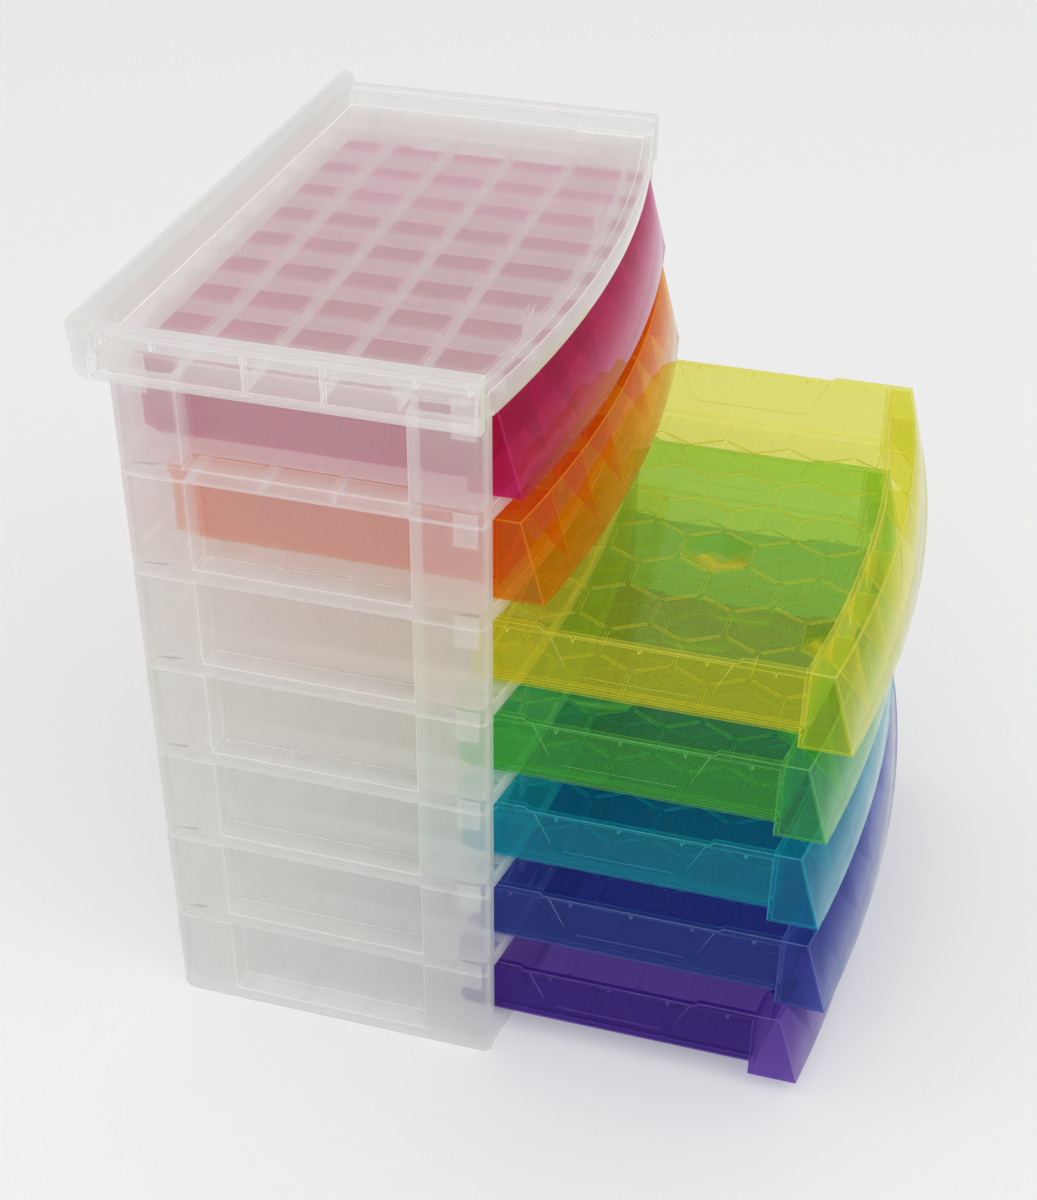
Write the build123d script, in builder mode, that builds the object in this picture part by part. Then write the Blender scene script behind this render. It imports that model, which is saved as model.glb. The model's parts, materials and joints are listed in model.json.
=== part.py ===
from build123d import *
import math
import os

# Desk drawer tower: seven stacked tiers, a top cover and seven drawers with bowed fronts.
# Units are millimetres. The origin is the middle of the base, on the table. +Z is up and
# the drawers open towards -Y.

# Cabinet
tier_count = 7
tier_pitch = 45.0
cabinet_width = 264.0
cabinet_depth = 148.0
wall = 1.8
front_corner = 3.0
rear_corner = 9.0
post_flange = 8.0
front_radius = 650.0

# Shelf of a tier, with the skirt and ribs below it and the two rails on it
shelf_plate = 1.8
shelf_top = 6.6
rib = 1.2
rib_pitch_across = 27.2
rib_pitch_deep = 28.4
rail_height = 3.7
rail_width = 2.0
rail_inset = 20.0
rail_setback = 4.0

# Hollow in each side of a tier, between its front and rear posts
recess_depth = 10.0
recess_length = 89.0
recess_corner = 1.5

# Lugs that drop into the tier below, and the tabs that stop its drawer
lug_length = 9.0
lug_drop = 10.0
lug_thickness = 1.5
lug_gap = 0.2
lug_setback = 7.0
stop_drop = 4.2
stop_thickness = 2.0
stop_width = 10.0
stop_setback = 6.0

# Drawer
side_gap = 3.0
glide_gap = 0.3
rear_gap = 3.3
drawer_wall = 1.5
drawer_floor = 1.5
drawer_height = 31.7
drawer_corner = 4.0
rim_lip = 1.3
rim_height = 3.0
rim_step = 1.6
rim_low_length = 78.0
rim_rib = 1.0
rim_rib_drop = 2.0
rim_rib_pitch = 26.0
foot_step = 2.4
foot_height = 3.2
panel_depth = 0.5
panel_top_length = 72.0
panel_low_length = 54.0
panel_rise = 10.4
panel_corner = 6.0
cell_side = 17.6
cell_rib = 1.3
cell_rib_height = 0.7
cell_corner = 2.0

# Front of a drawer: a hollow, bowed pull that leans out towards its lower edge
front_setout = 0.4
front_band = 10.0
front_lean = 9.5
front_drop = 3.6
gusset = 1.0
gusset_middle_gap = 52.0
gusset_pitch = 32.0
gusset_inner_drop = 12.0
gusset_outer_drop = 34.0

# Top cover
cover_front = 73.9
cover_rear = 82.0
cover_overhang = 6.0
cover_gap = 0.3
cover_lap = 3.0
cover_plate = 1.8
cover_rib_depth = 6.6
cover_rim = 9.6
cover_bead = 3.6
cover_bead_width = 7.5
cover_bar = 14.1
cover_bar_width = 9.0
cover_bar_corner = 4.2
cover_bulge = 0.9
cover_bulge_height = 10.0
cover_foot_corner = 6.0
cover_flat = 8.0
cover_lip = 0.8
cover_lip_width = 4.5
cover_front_drop = 2.0
cover_rib_setback = 10.0
channel_rib_pitch = 30.0
channel_nub = 3.0
channel_nub_places = (50.0, 69.5)

# How far each drawer stands open, from the lowest to the highest
drawer_names = ("violet", "blue", "teal", "green", "yellow", "orange", "pink")
drawer_openings = (123.3, 131.4, 124.7, 123.8, 129.6, 8.8, 0.0)

half_width = cabinet_width / 2
half_depth = cabinet_depth / 2
top_of_tiers = tier_count * tier_pitch
panel_inside = half_width - recess_depth - wall
drawer_half = panel_inside - side_gap
rim_half = drawer_half + rim_lip
runner_top = shelf_top + rail_height
drawer_foot = runner_top + glide_gap
drawer_top = drawer_foot + drawer_height
drawer_rear = half_depth - wall - rear_gap - rim_lip
stop_back = -half_depth + wall + stop_setback
front_top = half_depth + front_setout
front_foot = drawer_foot - front_drop
rib_count_across = 2 * int((half_width - 2 * wall) / rib_pitch_across) + 1
rib_count_deep = 2 * int((half_depth - 2 * wall) / rib_pitch_deep)
cover_web = half_width + cover_gap
flange_inside = half_width - post_flange - cover_gap
cover_half = half_width + cover_overhang
cover_under = top_of_tiers + cover_rib_depth
cover_top = cover_under + cover_plate
cover_low = top_of_tiers - cover_lap
rim_top = cover_top + cover_rim
bar_top = cover_top + cover_bar
bar_front = cover_rear - cover_bar_width
rim_rib_count = int((cabinet_depth - 2 * drawer_corner) / rim_rib_pitch)


def rise(half_chord):
    """How far the bowed front stands ahead of a chord of this half length."""
    return front_radius - math.sqrt(front_radius**2 - half_chord**2)


def front_y(x, behind=0.0):
    """Y of a closed drawer's front at its top edge, or of an arc that lies behind it."""
    centre = math.sqrt(front_radius**2 - rim_half**2) - front_top
    return centre - math.sqrt((front_radius - behind) ** 2 - x**2)


def bowed_outline(height, half, front, rear, flat, inset=0.0):
    """Outline with a bowed front between two short flats, and rounded rear corners."""
    chord = half - flat
    with BuildSketch(Plane.XY.offset(height)) as plan:
        with BuildLine():
            Polyline(
                (-chord, front), (-half, front), (-half, rear), (half, rear), (half, front), (chord, front)
            )
            ThreePointArc((chord, front), (0, front - rise(chord)), (-chord, front))
        make_face()
        fillet(plan.vertices().group_by(Axis.Y)[-1], rear_corner)
        beside = plan.vertices().filter_by(lambda v: abs(v.X) > half - flat / 2)
        fillet(beside.group_by(Axis.Y)[0], front_corner)
        if inset > 0:
            offset(amount=-inset)
    return plan.sketch


def shelf_outline(height, inset=0.0):
    """Outline of a tier's shelf and skirt."""
    return bowed_outline(height, half_width, -half_depth, half_depth, post_flange, inset)


def cover_outline(height, inset=0.0):
    """Outline of the top cover inside its side channels."""
    half = cover_web + wall
    rear = cover_rear - cover_bar_width / 2
    return bowed_outline(height, half, -cover_front, rear, cover_flat, inset)


def wall_outline(height):
    """Side and rear walls of a tier, with their posts, flanges and side hollows."""
    with BuildSketch(Plane.XY.offset(height)) as plan:
        Rectangle(cabinet_width, cabinet_depth)
        fillet(plan.vertices().group_by(Axis.Y)[-1], rear_corner)
        fillet(plan.vertices().group_by(Axis.Y)[0], front_corner)
        with Locations((-half_width, 0), (half_width, 0)):
            RectangleRounded(2 * recess_depth, recess_length, recess_corner, mode=Mode.SUBTRACT)
        offset(amount=-wall, mode=Mode.SUBTRACT)
        with Locations((0, -half_depth)):
            Rectangle(cabinet_width - 2 * post_flange, 4 * wall, mode=Mode.SUBTRACT)
    return plan.sketch


def rib_grid(height, boundary):
    """Thin ribs in both directions, kept inside a boundary."""
    with BuildSketch(Plane.XY.offset(height)) as plan:
        with GridLocations(rib_pitch_across, 1, rib_count_across, 1):
            Rectangle(rib, 2 * cabinet_depth)
        with GridLocations(1, rib_pitch_deep, 1, rib_count_deep):
            Rectangle(2 * cabinet_width, rib)
        add(boundary, mode=Mode.INTERSECT)
    return plan.sketch


def lug_places():
    """Middles of the four lugs, just inside the posts of the tier below."""
    x = half_width - wall - lug_gap - lug_thickness / 2
    front = -half_depth + wall + lug_setback
    rear = half_depth - rear_corner - lug_setback / 2
    return [(side * x, y) for side in (-1, 1) for y in (front, rear)]


def stop_places():
    """Middles of the two tabs that the rear wall of a drawer meets when it is fully open."""
    return [(side * 2 * rib_pitch_across, stop_back - stop_thickness / 2) for side in (-1, 1)]


def make_tier(number):
    """One tier: a shelf with its skirt and ribs, the walls that stand on it, and its rails."""
    foot = (number - 1) * tier_pitch
    under = foot + shelf_top - shelf_plate
    with BuildPart() as tier:
        extrude(shelf_outline(foot), amount=shelf_top)
        extrude(shelf_outline(foot, wall), amount=shelf_top - shelf_plate, mode=Mode.SUBTRACT)
        extrude(rib_grid(foot, shelf_outline(foot, wall / 2)), amount=shelf_top - shelf_plate)
        extrude(wall_outline(foot + shelf_top), amount=tier_pitch - shelf_top)
        with BuildSketch(Plane.XY.offset(foot + shelf_top)) as rails:
            with Locations((rail_inset - half_width, 0), (half_width - rail_inset, 0)):
                Rectangle(rail_width, cabinet_depth - 2 * wall - 2 * rail_setback)
        extrude(amount=rail_height)
        if number > 1:
            with BuildSketch(Plane.XY.offset(under)) as lugs:
                with Locations(*lug_places()):
                    Rectangle(lug_thickness, lug_length)
            extrude(amount=-(shelf_top - shelf_plate + lug_drop))
            with BuildSketch(Plane.XY.offset(under)) as stops:
                with Locations(*stop_places()):
                    Rectangle(stop_width, stop_thickness)
            extrude(amount=-(shelf_top - shelf_plate + stop_drop))
    return tier.part


def drawer_outline(height, inset=0.0, foot_inset=0.0):
    """Outline of the drawer's box, bowed at the front wall."""
    half = drawer_half - inset - foot_inset
    rear = drawer_rear - inset - foot_inset
    behind = front_band + inset
    with BuildSketch(Plane.XY.offset(height)) as plan:
        with BuildLine():
            Polyline(
                (-half, front_y(half, behind)),
                (-half, rear),
                (half, rear),
                (half, front_y(half, behind)),
            )
            ThreePointArc(
                (half, front_y(half, behind)),
                (0, front_y(0, behind)),
                (-half, front_y(half, behind)),
            )
        make_face()
        fillet(plan.vertices().group_by(Axis.Y)[-1], drawer_corner - inset)
    return plan.sketch


def rim_outline(height):
    """The lip round the sides and rear of the drawer's top edge."""
    with BuildSketch(Plane.XY.offset(height)) as plan:
        front = front_y(rim_half, front_band)
        with Locations((0, (front + drawer_rear + rim_lip) / 2)):
            Rectangle(2 * rim_half, drawer_rear + rim_lip - front)
        fillet(plan.vertices().group_by(Axis.Y)[-1], drawer_corner + rim_lip)
        add(drawer_outline(height, drawer_wall / 2), mode=Mode.SUBTRACT)
    return plan.sketch


def pull_outline(height, lean, inset=0.0):
    """Section of the hollow front between its inner wall and its leaning outer face."""
    half = rim_half - inset
    inner = front_band + drawer_wall - inset
    with BuildSketch(Plane.XY.offset(height)) as plan:
        with BuildLine():
            ThreePointArc(
                (-half, front_y(half, inset) - lean),
                (0, front_y(0, inset) - lean),
                (half, front_y(half, inset) - lean),
            )
            Line((half, front_y(half, inset) - lean), (half, front_y(half, inner)))
            ThreePointArc(
                (half, front_y(half, inner)),
                (0, front_y(0, inner)),
                (-half, front_y(half, inner)),
            )
            Line((-half, front_y(half, inner)), (-half, front_y(half, inset) - lean))
        make_face()
    return plan.sketch


def lean_at(height):
    """How far the outer face has leaned out at this height."""
    return front_lean * (drawer_top - height) / (drawer_top - front_foot)


def floor_cells(height):
    """Six-sided cells of low ribs over the drawer's floor."""
    rows = 2 * math.ceil(drawer_half / (3 * cell_side)) + 1
    columns = math.ceil(cabinet_depth / (math.sqrt(3) * cell_side)) + 2
    with BuildSketch() as cell:
        RegularPolygon(cell_side - cell_rib / math.sqrt(3), 6, major_radius=True)
        fillet(cell.vertices(), cell_corner)
    with BuildSketch(Plane.XY.offset(height)) as plan:
        add(drawer_outline(height, drawer_wall / 2, foot_step))
        with HexLocations(cell_side, rows + 2, columns, major_radius=True):
            add(cell.sketch, mode=Mode.SUBTRACT)
    return plan.sketch


def add_gussets():
    """Webs across the hollow front, wide at the top band and tapering down the outer face."""
    top = drawer_top - drawer_wall / 2
    low = drawer_top - gusset_outer_drop
    first = gusset_middle_gap / 2
    count = int((rim_half - drawer_wall - first) / gusset_pitch) + 1
    for x in [side * (first + number * gusset_pitch) for side in (-1, 1) for number in range(count)]:
        inner = front_y(x, front_band) + drawer_wall / 2
        outer = front_y(x) + drawer_wall / 2
        with BuildSketch(Plane.YZ.offset(x)) as web:
            with BuildLine():
                Polyline(
                    (inner, top),
                    (inner, drawer_top - gusset_inner_drop),
                    (outer - lean_at(low), low),
                    (outer - lean_at(top), top),
                    close=True,
                )
            make_face()
        extrude(web.sketch, amount=gusset / 2, both=True)


def cut_side_panels():
    """Shallow tapered panels in the outer faces of the side walls."""
    high = drawer_top - rim_height
    low = drawer_foot + panel_rise
    for side in (-1, 1):
        with BuildSketch(Plane.YZ.offset(side * drawer_half)) as panel:
            with BuildLine():
                Polyline(
                    (-panel_top_length / 2, high),
                    (-panel_low_length / 2, low),
                    (panel_low_length / 2, low),
                    (panel_top_length / 2, high),
                    close=True,
                )
            make_face()
            fillet(panel.vertices().group_by(Axis.Y)[0], panel_corner)
        extrude(panel.sketch, amount=-side * panel_depth, mode=Mode.SUBTRACT)


def lower_side_rims():
    """Takes the middle of both side rims down a step, with a slope at each end."""
    for side in (-1, 1):
        with BuildSketch(Plane.YZ.offset(side * (drawer_half + rim_lip))) as step:
            with BuildLine():
                Polyline(
                    (-rim_low_length / 2, drawer_top),
                    (rim_step - rim_low_length / 2, drawer_top - rim_step),
                    (rim_low_length / 2 - rim_step, drawer_top - rim_step),
                    (rim_low_length / 2, drawer_top),
                    close=True,
                )
            make_face()
        extrude(step.sketch, amount=-side * 2 * (rim_lip + drawer_wall), mode=Mode.SUBTRACT)


def make_drawer():
    """A closed drawer in the lowest tier."""
    step_top = drawer_foot + foot_height
    floor_top = drawer_foot + drawer_floor
    hollow_top = drawer_top - drawer_wall
    with BuildPart() as drawer:
        loft([pull_outline(front_foot, front_lean), pull_outline(drawer_top, 0)], ruled=True)
        extrude(drawer_outline(front_foot), amount=front_drop, mode=Mode.SUBTRACT)
        hollow = [
            pull_outline(front_foot, front_lean, drawer_wall),
            pull_outline(hollow_top, lean_at(hollow_top), drawer_wall),
        ]
        loft(hollow, ruled=True, mode=Mode.SUBTRACT)
        extrude(drawer_outline(step_top), amount=drawer_top - step_top)
        extrude(drawer_outline(drawer_foot, 0, foot_step), amount=foot_height)
        extrude(rim_outline(drawer_top - rim_height), amount=rim_height)
        inside = drawer_outline(step_top + drawer_wall, drawer_wall)
        extrude(inside, amount=drawer_height, mode=Mode.SUBTRACT)
        well = drawer_outline(floor_top, drawer_wall, foot_step)
        extrude(well, amount=foot_height + drawer_wall, mode=Mode.SUBTRACT)
        extrude(floor_cells(floor_top), amount=cell_rib_height)
        add_gussets()
        cut_side_panels()
        with BuildSketch(Plane.XY.offset(drawer_top - rim_height)):
            with GridLocations(2 * drawer_half + rim_lip - panel_depth, rim_rib_pitch, 2, rim_rib_count):
                Rectangle(rim_lip + panel_depth, rim_rib)
        extrude(amount=-rim_rib_drop)
        lower_side_rims()
    return drawer.part


def channel_section(side, low, high, inner, outer, corner):
    """Section across a side channel's flange or bead, between two distances from the middle."""
    with BuildSketch(Plane.XZ.offset(cover_front)) as section:
        with Locations((side * (inner + outer) / 2, (low + high) / 2)):
            RectangleRounded(outer - inner, high - low, corner)
    return section.sketch


def add_side_channel(side):
    """One side of the cover: web, foot flange, bead, end frame and the ribs between them."""
    run = cover_front + cover_rear - cover_bar_width + wall / 2
    outer_web = cover_web + wall
    inner_bead = cover_half - cover_bead_width
    with BuildSketch(Plane.XY.offset(cover_top)) as web:
        with Locations((side * (cover_web + wall / 2), wall / 2 - cover_front)):
            Rectangle(wall, run, align=(Align.CENTER, Align.MIN))
    extrude(web.sketch, amount=cover_rim - cover_bead / 2)
    foot = channel_section(side, cover_low, cover_low + wall, cover_web, cover_half, wall / 3)
    extrude(foot, amount=-run)
    bead = channel_section(side, rim_top - cover_bead, rim_top, inner_bead, cover_half, cover_bead / 2.2)
    extrude(bead, amount=-run)
    frame = channel_section(side, cover_low, rim_top, cover_web, cover_half, wall)
    extrude(frame, amount=-wall)
    middle = side * (outer_web + cover_half - wall) / 2
    reach = cover_half - wall - outer_web + wall / 2
    with BuildSketch(Plane.XY.offset(cover_low + wall / 2)) as ribs:
        with GridLocations(1, channel_rib_pitch, 1, 2):
            with Locations((middle, 0)):
                Rectangle(reach, rib)
    extrude(ribs.sketch, amount=rim_top - cover_low - cover_bead)
    with BuildSketch(Plane.XY.offset(rim_top - cover_bead / 2)) as nubs:
        with Locations(*[(middle, way * place) for place in channel_nub_places for way in (-1, 1)]):
            Rectangle(reach, rib)
    extrude(nubs.sketch, amount=-(channel_nub + cover_bead / 2))


def bar_above(x, inset=0.0):
    """Section of the rear bar above the deck's underside: rounded on top, with a slight bulge."""
    front = bar_front + inset
    rear = cover_rear - inset
    top = bar_top - inset
    bulge_low = bar_top - cover_bulge_height
    with BuildSketch(Plane.YZ.offset(x)) as section:
        with BuildLine():
            Polyline(
                (front, cover_under),
                (front, top),
                (rear, top),
                (rear, bulge_low),
                (rear - cover_bulge, bulge_low - 3 * cover_bulge),
                (rear - cover_bulge, cover_under),
                close=True,
            )
        make_face()
        fillet(section.vertices().group_by(Axis.Y)[-1], cover_bar_corner - inset)
    return section.sketch


def bar_below(x, inset=0.0):
    """Section of the rear bar below the deck: a wall with a foot, rounded where they meet."""
    front = bar_front + wall
    rear = cover_rear - cover_bulge - inset
    low = cover_low + inset
    with BuildSketch(Plane.YZ.offset(x)) as section:
        with Locations((front, low)):
            Rectangle(rear - front, cover_top - low, align=(Align.MIN, Align.MIN))
        corner = section.vertices().group_by(Axis.Y)[0].sort_by(Axis.X)[-1]
        fillet(corner, cover_foot_corner - inset)
    return section.sketch


def add_rear_bar():
    """The raised bar along the rear edge, hollow and open towards the deck's underside."""
    extrude(bar_above(-cover_half), amount=2 * cover_half)
    extrude(bar_below(-cover_half), amount=2 * cover_half)
    inside = 2 * (cover_half - wall)
    extrude(bar_above(wall - cover_half, wall), amount=inside, mode=Mode.SUBTRACT)
    extrude(bar_below(wall - cover_half, wall), amount=inside, mode=Mode.SUBTRACT)


def make_cover():
    """Top cover: a ribbed tray with side channels, a rear bar and a low front edge."""
    with BuildPart() as cover:
        extrude(cover_outline(cover_low), amount=cover_top - cover_low)
        extrude(cover_outline(cover_low, wall), amount=cover_under - cover_low, mode=Mode.SUBTRACT)
        with BuildSketch(Plane.XY.offset(cover_low)):
            with Locations((0, -half_depth)):
                Rectangle(2 * flange_inside, half_depth)
        extrude(amount=cover_lap - cover_front_drop, mode=Mode.SUBTRACT)
        with BuildSketch(Plane.XY.offset(cover_low)):
            with Locations((0, -half_depth)):
                Rectangle(2 * cover_web, 2 * cover_lap)
                Rectangle(2 * flange_inside, half_depth, mode=Mode.SUBTRACT)
        extrude(amount=cover_lap, mode=Mode.SUBTRACT)
        extrude(rib_grid(top_of_tiers, cover_outline(top_of_tiers, wall / 2)), amount=cover_rib_depth)
        with BuildSketch(Plane.XY.offset(top_of_tiers)):
            add(cover_outline(top_of_tiers, cover_rib_setback))
            add(cover_outline(top_of_tiers, cover_rib_setback + rib), mode=Mode.SUBTRACT)
            with Locations((0, -half_depth)):
                Rectangle(2 * cover_half, cabinet_depth / 2, mode=Mode.INTERSECT)
        extrude(amount=cover_rib_depth)
        with BuildSketch(Plane.XY.offset(cover_top)):
            add(cover_outline(cover_top))
            add(cover_outline(cover_top, cover_lip_width), mode=Mode.SUBTRACT)
            with Locations((0, -half_depth)):
                Rectangle(2 * cover_web, cabinet_depth / 2, mode=Mode.INTERSECT)
        extrude(amount=cover_lip)
        add_rear_bar()
        for side in (-1, 1):
            add_side_channel(side)
        with BuildSketch(Plane.XY.offset(cover_under)):
            with Locations(*lug_places()):
                Rectangle(lug_thickness, lug_length)
        extrude(amount=-(cover_rib_depth + lug_drop))
        with BuildSketch(Plane.XY.offset(cover_under)):
            with Locations(*stop_places()):
                Rectangle(stop_width, stop_thickness)
        extrude(amount=-(cover_rib_depth + stop_drop))
    return cover.part


pieces = {f"tier_{number}": make_tier(number) for number in range(1, tier_count + 1)}
pieces["top_cover"] = make_cover()
closed_drawer = make_drawer()
for index, (colour, opening) in enumerate(zip(drawer_names, drawer_openings)):
    place = Location((0, -opening, index * tier_pitch))
    pieces[f"drawer_{index + 1}_{colour}"] = closed_drawer.moved(place)

os.makedirs("parts", exist_ok=True)
for name, piece in pieces.items():
    piece.label = name
    export_step(piece, f"parts/{name}.step")
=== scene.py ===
# %% [markdown]
# # A tower of see-through drawers
#
# The object is a desk tower of thin moulded plastic: seven frosted tiers, a frosted top
# cover, and seven drawers that are tinted like a rainbow. Every shape comes from the packed
# model. What Blender adds is what a moulding looks like: rounded edges, a frosted or glossy
# skin, tints that grow deeper where walls lie behind each other, and soft light.

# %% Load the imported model
import json
import math

import bpy
from mathutils import Matrix, Vector

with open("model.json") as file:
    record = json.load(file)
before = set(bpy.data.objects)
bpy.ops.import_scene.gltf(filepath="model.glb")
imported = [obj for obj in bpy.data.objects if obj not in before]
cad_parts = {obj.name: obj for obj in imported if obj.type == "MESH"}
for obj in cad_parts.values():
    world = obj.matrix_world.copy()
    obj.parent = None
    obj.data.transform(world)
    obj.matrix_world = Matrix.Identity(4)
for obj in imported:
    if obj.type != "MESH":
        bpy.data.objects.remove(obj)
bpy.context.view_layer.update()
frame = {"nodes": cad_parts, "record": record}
nodes = frame["nodes"]
scene = bpy.context.scene
print("nodes:", sorted(nodes))

# %% [markdown]
# ## The camera
#
# The photograph was taken from the left of the tower, well above it and fairly near, so
# lines that are parallel on the tower run together. A real camera is level to within a
# degree, so it is described here by where it stands, where it looks and a small roll. The
# picture was cropped a little off centre, which a lens shift repeats without bending lines.

# %% Camera
AZIMUTH, ELEVATION, ROLL = (math.radians(angle) for angle in (-74.64, 34.10, 0.716))
CAMERA_PLACE = (-0.6982, -0.2494, 0.6398)
FOCAL_LENGTH = 57.89
SHIFT_X, SHIFT_Y = -0.0165, 0.0033
NEAREST = 0.05
camera_data = bpy.data.cameras.new("camera")
camera_data.lens = FOCAL_LENGTH
camera_data.shift_x = SHIFT_X
camera_data.shift_y = SHIFT_Y
camera_data.clip_start = NEAREST
camera = bpy.data.objects.new("camera", camera_data)
scene.collection.objects.link(camera)

back = Vector(
    (
        math.sin(AZIMUTH) * math.cos(ELEVATION),
        -math.cos(AZIMUTH) * math.cos(ELEVATION),
        math.sin(ELEVATION),
    )
)
level_right = Vector((math.cos(AZIMUTH), math.sin(AZIMUTH), 0))
level_up = back.cross(level_right)
right = math.cos(ROLL) * level_right + math.sin(ROLL) * level_up
turn = Matrix((right, back.cross(right), back)).transposed().to_4x4()
camera.matrix_world = Matrix.Translation(CAMERA_PLACE) @ turn
scene.camera = camera
print("camera turned by", [round(math.degrees(a), 2) for a in camera.matrix_world.to_euler()])

# %% [markdown]
# ## A pale ground and soft light
#
# Clear plastic shows whatever stands round it, so the surroundings are part of its look. A
# plain white floor and a white world are seen through and mirrored in the walls. The world
# lights the tower more gently than it looks to the camera, so that the plastic keeps some
# shade and does not wash out.


# %% Helpers for node trees
def put(tree, kind, values=None, **settings):
    """Adds a node of a kind, sets its inputs by name or number, and its other settings."""
    node = tree.nodes.new(kind)
    for key, value in settings.items():
        setattr(node, key, value)
    for key, value in (values or {}).items():
        if isinstance(value, bpy.types.NodeSocket):
            tree.links.new(value, node.inputs[key])
        else:
            node.inputs[key].default_value = value
    return node


def number(tree, operation, *values):
    """The result of a calculation with one, two or three numbers or sockets."""
    return put(tree, "ShaderNodeMath", dict(enumerate(values)), operation=operation).outputs[0]


def seen_directly(tree):
    """1 for rays that come from the camera, a mirror-like surface or clear plastic, else 0."""
    path = put(tree, "ShaderNodeLightPath")
    seen = path.outputs["Is Camera Ray"]
    for kind in ("Is Glossy Ray", "Is Transmission Ray"):
        seen = number(tree, "MAXIMUM", seen, path.outputs[kind])
    return seen


# %% World
HORIZON_LIGHT, ZENITH_LIGHT = 0.70, 0.95
WHITE = (1, 1, 1, 1)
world = bpy.data.worlds.new("white_room")
world.use_nodes = True
tree = world.node_tree
tree.nodes.clear()
way = put(tree, "ShaderNodeTexCoord").outputs["Generated"]
height = put(tree, "ShaderNodeSeparateXYZ", {"Vector": way}).outputs["Z"]
brightness = put(
    tree,
    "ShaderNodeMapRange",
    {"Value": height, "To Min": HORIZON_LIGHT, "To Max": ZENITH_LIGHT},
)
lit = put(tree, "ShaderNodeBackground", {"Color": WHITE, "Strength": brightness.outputs[0]})
shown = put(tree, "ShaderNodeBackground", {"Color": WHITE, "Strength": 1.0})
mixed = put(
    tree, "ShaderNodeMixShader", {0: seen_directly(tree), 1: lit.outputs[0], 2: shown.outputs[0]}
)
put(tree, "ShaderNodeOutputWorld", {"Surface": mixed.outputs[0]})
scene.world = world
print("world light from", HORIZON_LIGHT, "to", ZENITH_LIGHT)

# %% Floor
FLOOR_HALF = 3.0
GROUND_COLOUR = (0.80, 0.80, 0.80, 1)
GROUND_GLOW = 0.22
floor_mesh = bpy.data.meshes.new("floor")
corners = [(-FLOOR_HALF, -FLOOR_HALF, 0), (FLOOR_HALF, -FLOOR_HALF, 0)]
corners += [(FLOOR_HALF, FLOOR_HALF, 0), (-FLOOR_HALF, FLOOR_HALF, 0)]
floor_mesh.from_pydata(corners, [], [(0, 1, 2, 3)])
floor = bpy.data.objects.new("floor", floor_mesh)
scene.collection.objects.link(floor)

white_ground = bpy.data.materials.new("white_ground")
white_ground.use_nodes = True
tree = white_ground.node_tree
tree.nodes.clear()
matt = put(tree, "ShaderNodeBsdfDiffuse", {"Color": GROUND_COLOUR})
glow = put(tree, "ShaderNodeEmission", {"Color": WHITE, "Strength": seen_directly(tree)})
both = put(tree, "ShaderNodeMixShader", {0: GROUND_GLOW, 1: matt.outputs[0], 2: glow.outputs[0]})
put(tree, "ShaderNodeOutputMaterial", {"Surface": both.outputs[0]})
floor_mesh.materials.append(white_ground)
print("floor:", 2 * FLOOR_HALF, "m square")


# %% Lamps
TOWER_MIDDLE = Vector((0, -0.05, 0.16))
CLEAR_LAYERS = 64


def soft_lamp(name, place, size, watts):
    """A square area lamp that faces the middle of the tower."""
    data = bpy.data.lights.new(name, "AREA")
    data.size = size
    data.energy = watts
    lamp = bpy.data.objects.new(name, data)
    scene.collection.objects.link(lamp)
    lamp.location = place
    aim = TOWER_MIDDLE - lamp.location
    lamp.rotation_euler = aim.to_track_quat("-Z", "Y").to_euler()
    return lamp


soft_lamp("lamp_front", (-0.9, -1.7, 1.9), 1.8, 16)
soft_lamp("lamp_left", (-2.0, 0.5, 1.3), 1.4, 9)
scene.view_settings.view_transform = "Standard"
scene.cycles.transparent_max_bounces = CLEAR_LAYERS

# %% [markdown]
# ## Moulded plastic
#
# A tinted moulding does three things with light. Some goes straight through and takes the
# tint, once for each face that it crosses, so two walls look deeper than one. Some is
# scattered by the skin and the body, which gives the milky veil. Light that crosses a wall
# at a slant has a longer way through it, so the veil grows there. The rest is mirrored, also
# more strongly at a slant. Glass with a rough surface could do all of this in one shader,
# but it would keep lamp light out of the drawers, so the three are mixed by hand. A noise
# breaks up the evenness as the flow of the melt does. On the frosted pieces the mould's
# texture differs: the deck is the clearest, the floors of the side hollows come next, and
# the outer faces and the sides of the ribs are the milkiest, so that the ribs show under the
# deck as a pale grid. The recipe works that out from which way a face looks and how far out
# it lies.


# %% How milky a frosted face is
DECK_SIDE, HOLLOW_FLOOR, OUTER_FACE = 0.116, 0.122, 0.131


def between(tree, value, start, end, low, high):
    """Goes from low to high while value goes from start to end, and stays there beyond."""
    ends = {"Value": value, "From Min": start, "From Max": end, "To Min": low, "To Max": high}
    return put(tree, "ShaderNodeMapRange", ends).outputs[0]


def texture_haze(tree, where, deck, rib_side, hollow_floor, outer_face):
    """The haze of a frosted face, from which way it faces and how far out it lies."""
    facing = put(tree, "ShaderNodeNewGeometry").outputs["True Normal"]
    upward = put(tree, "ShaderNodeSeparateXYZ", {"Vector": facing}).outputs["Z"]
    sideways = put(tree, "ShaderNodeSeparateXYZ", {"Vector": where}).outputs["X"]
    distance = number(tree, "ABSOLUTE", sideways)
    inside = between(tree, number(tree, "ABSOLUTE", upward), 0.0, 1.0, rib_side, deck)
    beside = between(tree, distance, DECK_SIDE, HOLLOW_FLOOR, inside, hollow_floor)
    return between(tree, distance, HOLLOW_FLOOR, OUTER_FACE, beside, outer_face)


# %% The plastic's recipe
FLOW_SCALE, FLOW_DETAIL, FLOW_DEPTH = 45.0, 3.0, 0.001
LEAST_STRAIGHT = 0.12
MIRROR_POWER, FULL_MIRROR = 6.0, 0.95


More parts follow.
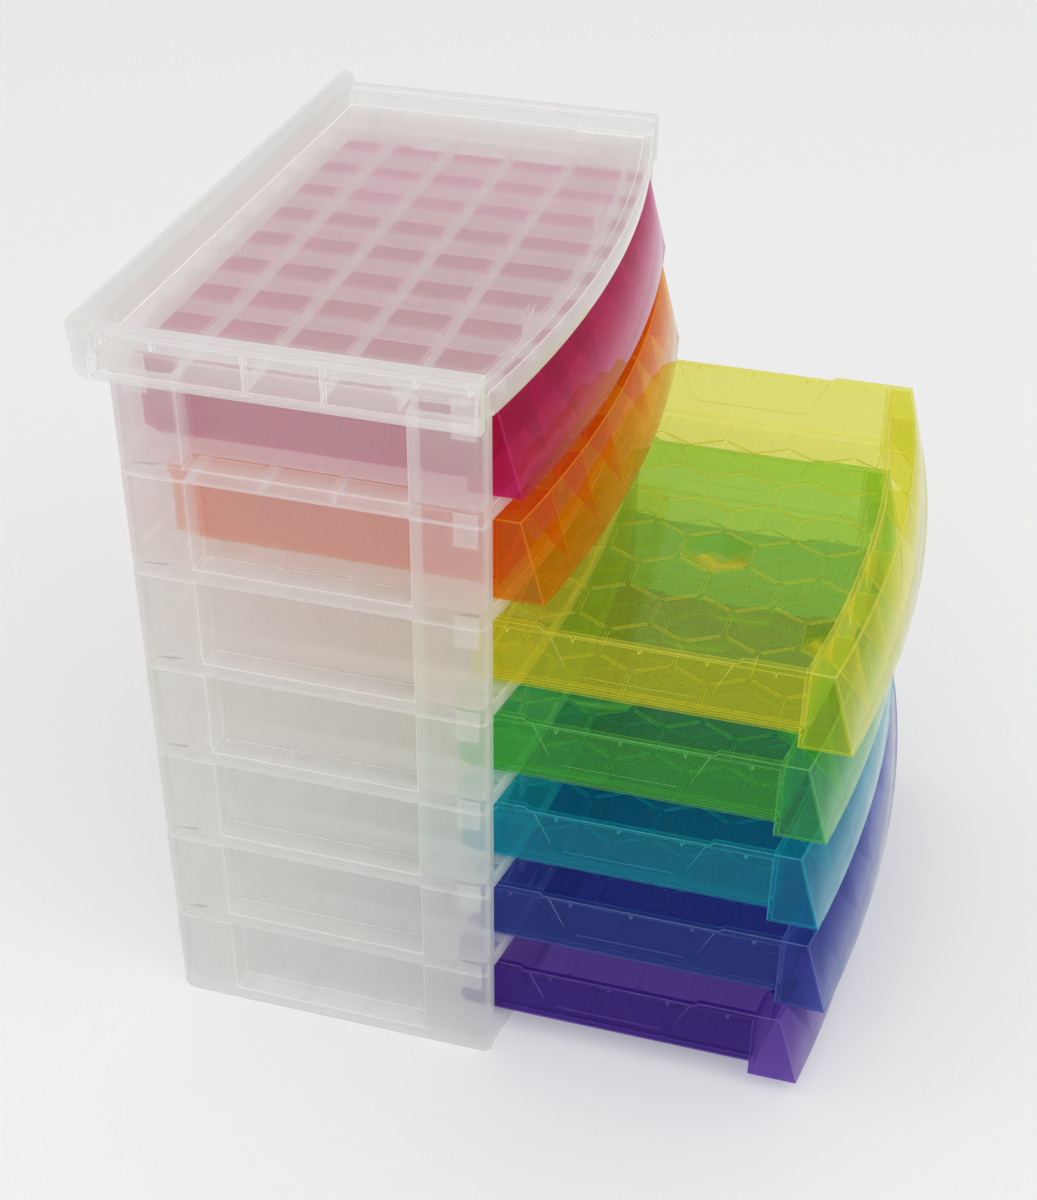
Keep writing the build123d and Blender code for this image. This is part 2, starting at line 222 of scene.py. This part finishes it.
def moulded_plastic(name, one_wall, veil, haze, roughness, gloss, ripple, texture=None):
    """Plastic where one_wall is what a whole wall lets through and veil what it scatters."""
    material = bpy.data.materials.new(name)
    material.use_nodes = True
    tree = material.node_tree
    tree.nodes.clear()
    where = put(tree, "ShaderNodeTexCoord").outputs["Object"]
    flow = put(
        tree,
        "ShaderNodeTexNoise",
        {"Vector": where, "Scale": FLOW_SCALE, "Detail": FLOW_DETAIL},
    ).outputs[0]
    bump = put(
        tree, "ShaderNodeBump", {"Height": flow, "Strength": ripple, "Distance": FLOW_DEPTH}
    ).outputs[0]
    face = [channel**0.5 for channel in one_wall]
    clear = put(tree, "ShaderNodeBsdfTransparent", {"Color": (*face, 1)})
    skin = put(tree, "ShaderNodeBsdfDiffuse", {"Color": (*veil, 1), "Normal": bump})
    behind = put(tree, "ShaderNodeBsdfTranslucent", {"Color": (*veil, 1)})
    scattered = put(
        tree, "ShaderNodeMixShader", {0: 0.5, 1: skin.outputs[0], 2: behind.outputs[0]}
    )
    slant = put(tree, "ShaderNodeLayerWeight", {"Blend": 0.5}).outputs["Facing"]
    straight = number(tree, "MAXIMUM", number(tree, "SUBTRACT", 1.0, slant), LEAST_STRAIGHT)
    milky = texture_haze(tree, where, haze, *texture) if texture else haze
    uneven = number(tree, "MULTIPLY", milky, number(tree, "MULTIPLY_ADD", flow, 0.1, 0.95))
    seen_through = number(tree, "SUBTRACT", 1.0, uneven)
    unscattered = number(tree, "POWER", seen_through, number(tree, "DIVIDE", 1.0, straight))
    share = number(tree, "SUBTRACT", 1.0, unscattered)
    body = put(
        tree, "ShaderNodeMixShader", {0: share, 1: clear.outputs[0], 2: scattered.outputs[0]}
    )
    matt = number(tree, "MULTIPLY_ADD", flow, 0.4 * roughness, 0.8 * roughness)
    sheen = [(3 + channel) / 4 for channel in face]
    mirror = put(
        tree, "ShaderNodeBsdfGlossy", {"Color": (*sheen, 1), "Roughness": matt, "Normal": bump}
    )
    grazing = number(tree, "POWER", slant, MIRROR_POWER)
    reflected = number(tree, "MULTIPLY_ADD", grazing, FULL_MIRROR - gloss, gloss)
    whole = put(
        tree, "ShaderNodeMixShader", {0: reflected, 1: body.outputs[0], 2: mirror.outputs[0]}
    )
    lets_in = [channel * (1 - haze / 2) for channel in face]
    window = put(tree, "ShaderNodeBsdfTransparent", {"Color": (*lets_in, 1)})
    shadow = put(tree, "ShaderNodeLightPath").outputs["Is Shadow Ray"]
    final = put(
        tree, "ShaderNodeMixShader", {0: shadow, 1: whole.outputs[0], 2: window.outputs[0]}
    )
    put(tree, "ShaderNodeOutputMaterial", {"Surface": final.outputs[0]})
    return material


# %% [markdown]
# ## The finishes
#
# The tiers and the cover are the same natural plastic, frosted all over. The drawers are
# polished and carry a dye each. Their tints are written as what one wall lets through.

# %% Tints of the drawers
TINTS = {
    "violet": ((0.30, 0.17, 0.60), (0.18, 0.08, 0.46)),
    "blue": ((0.25, 0.30, 0.70), (0.12, 0.20, 0.56)),
    "teal": ((0.08, 0.68, 0.80), (0.02, 0.52, 0.66)),
    "green": ((0.40, 0.84, 0.40), (0.14, 0.58, 0.16)),
    "yellow": ((0.90, 0.89, 0.26), (0.78, 0.76, 0.05)),
    "orange": ((0.92, 0.46, 0.05), (0.80, 0.26, 0.00)),
    "pink": ((0.76, 0.05, 0.37), (0.55, 0.01, 0.17)),
}
FROSTED_WALL, FROSTED_VEIL = (0.95, 0.95, 0.95), (0.77, 0.77, 0.755)
# The edge strips' veil is lighter than the walls' veil: a painted glow for the light that runs
# inside the plastic.
FROSTED_EDGE_VEIL_WITH_PAINTED_GLOW = (0.97, 0.97, 0.96)
print("tints:", list(TINTS))

# %% [markdown]
# A finish is a pair: one for the walls, and one for the thin rounded strips along their
# edges. A strip looks brighter than its wall, because it gathers the light that runs inside
# the plastic. That light is painted in as a lighter veil colour, a painted glow, and the
# strip also gets more haze and more gloss. The four numbers of each are the haze, the
# roughness, the share that is mirrored straight on, and the ripple of the skin. The three
# numbers of the texture are the haze of the ribs' sides, hollow floors and outer faces.

# %% Walls and edge strips
FROSTED, FROSTED_EDGE = (0.14, 0.37, 0.04, 0.08), (0.42, 0.25, 0.05, 0.05)
TEXTURE = (0.29, 0.205, 0.27)
POLISHED, POLISHED_EDGE = (0.10, 0.08, 0.012, 0.03), (0.35, 0.12, 0.03, 0.03)
# A power below 1 lightens each drawer's veil on its edge strips: a painted glow for the light
# that runs inside the plastic.
EDGE_PAINTED_GLOW_POWER = 0.6
finishes = {
    "clear_frosted": (
        moulded_plastic("frosted_plastic", FROSTED_WALL, FROSTED_VEIL, *FROSTED, TEXTURE),
        moulded_plastic("frosted_edge", FROSTED_WALL, FROSTED_EDGE_VEIL_WITH_PAINTED_GLOW, *FROSTED_EDGE),
    )
}
for tint, (through, veil) in TINTS.items():
    # The lighter veil of the edge strips is painted glow.
    veil_with_painted_glow = [channel**EDGE_PAINTED_GLOW_POWER for channel in veil]
    finishes[f"{tint}_translucent"] = (
        moulded_plastic(f"{tint}_plastic", through, veil, *POLISHED),
        moulded_plastic(f"{tint}_edge", through, veil_with_painted_glow, *POLISHED_EDGE),
    )
print("finishes:", sorted(finishes))

# %% Each part gets its finish
for part in frame["record"]["subparts"]:
    node = nodes[part["node"]]
    node.data.materials.clear()
    for material in finishes[part["material_slot"]]:
        node.data.materials.append(material)

# %% [markdown]
# ## Rounded edges
#
# No moulding has a knife edge, and on clear plastic the rounded edges are most of what the
# eye sees: they catch the light and draw each wall as a bright line. The line is partly
# real gloss on the rounded strips and partly painted glow, the lighter veil of their finish.
# A bevel modifier rounds them, and the CAD mesh under it stays as it is. First the imported
# mesh is welded and its flat faces are merged. A bevel goes wrong on the slivers that CAD
# meshes have where round faces meet, so a small node group picks the edges that are long
# enough and nearly square.

# %% A node group that picks the edges to round
SHORTEST_EDGE = 0.001
LEAST_ANGLE, MOST_ANGLE = math.radians(70), math.radians(110)
crisp_edges = bpy.data.node_groups.new("crisp_edges", "GeometryNodeTree")
crisp_edges.interface.new_socket("Geometry", in_out="INPUT", socket_type="NodeSocketGeometry")
crisp_edges.interface.new_socket("Geometry", in_out="OUTPUT", socket_type="NodeSocketGeometry")
angle = put(crisp_edges, "GeometryNodeInputMeshEdgeAngle").outputs["Unsigned Angle"]
ends = put(crisp_edges, "GeometryNodeInputMeshEdgeVertices").outputs
length = put(
    crisp_edges,
    "ShaderNodeVectorMath",
    {0: ends["Position 1"], 1: ends["Position 2"]},
    operation="DISTANCE",
).outputs["Value"]
picked = put(crisp_edges, "FunctionNodeCompare", {"A": length, "B": SHORTEST_EDGE}).outputs[0]
for measure, limit, test in (
    (angle, LEAST_ANGLE, "GREATER_THAN"),
    (angle, MOST_ANGLE, "LESS_THAN"),
):
    passed = put(crisp_edges, "FunctionNodeCompare", {"A": measure, "B": limit}, operation=test)
    both = put(crisp_edges, "FunctionNodeBooleanMath", {0: picked, 1: passed.outputs[0]})
    picked = both.outputs[0]
mesh_in = put(crisp_edges, "NodeGroupInput").outputs[0]
marked = put(
    crisp_edges,
    "GeometryNodeStoreNamedAttribute",
    {"Geometry": mesh_in, "Name": "bevel_weight_edge", "Value": picked},
    domain="EDGE",
)
put(crisp_edges, "NodeGroupOutput", {0: marked.outputs[0]})

# %% Modifiers that round the edges
EDGE_RADIUS, ROUNDING_STEPS = 0.0003, 2
WELD_DISTANCE, FLAT_ANGLE = 1e-6, math.radians(0.5)
for node in nodes.values():
    weld = node.modifiers.new("weld", "WELD")
    weld.merge_threshold = WELD_DISTANCE
    merge = node.modifiers.new("merge_flats", "DECIMATE")
    merge.decimate_type = "DISSOLVE"
    merge.angle_limit = FLAT_ANGLE
    pick = node.modifiers.new("pick_edges", "NODES")
    pick.node_group = crisp_edges
    bevel = node.modifiers.new("round_edges", "BEVEL")
    bevel.width = EDGE_RADIUS
    bevel.segments = ROUNDING_STEPS
    bevel.limit_method = "WEIGHT"
    bevel.use_clamp_overlap = False
    bevel.harden_normals = True
    # The rounded strips take each finish's edge material, whose lighter veil is a painted glow.
    bevel.material = 1
print("edges rounded on", len(nodes), "nodes")
